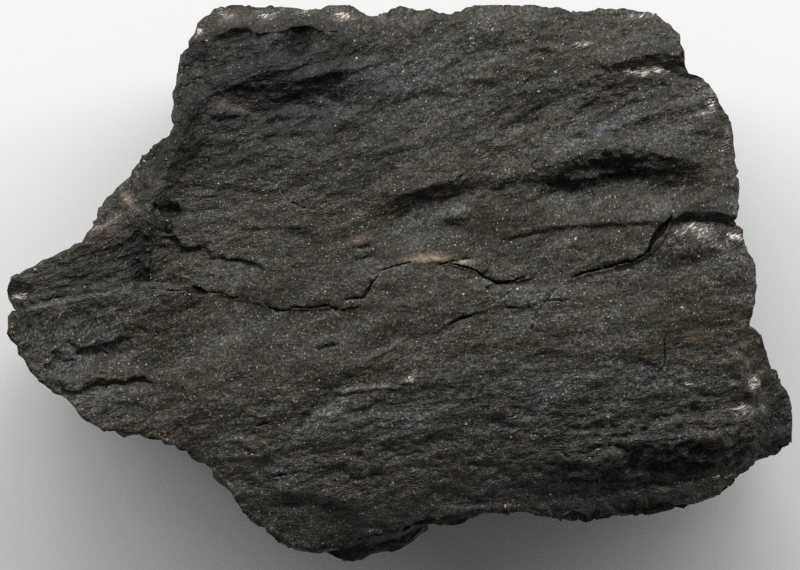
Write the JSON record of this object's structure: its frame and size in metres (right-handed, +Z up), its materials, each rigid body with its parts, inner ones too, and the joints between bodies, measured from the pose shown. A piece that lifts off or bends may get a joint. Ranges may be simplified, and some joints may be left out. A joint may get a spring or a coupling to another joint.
{
  "type": "lignite block",
  "caption": "Rough hand-sized block of dark grey-brown lignite with a ledged bedding face, cracks and a flat underside to rest on.",
  "frame": {"origin": "centre of the bounding box on the plane of the flat rest facet", "axes": "+Z up, out of the broad bedding face; +X along the grain of the bedding, towards the broad end; +Y across the grain"},
  "size_m": [0.12, 0.0854, 0.0399],
  "materials": {
    "lignite": "dull dark grey-brown coal, fibrous along the bedding, with fine sparkling grains and a few glassy spots"
  },
  "bodies": {
    "root": {"lignite_block": "lignite"}
  },
  "joints": []
}
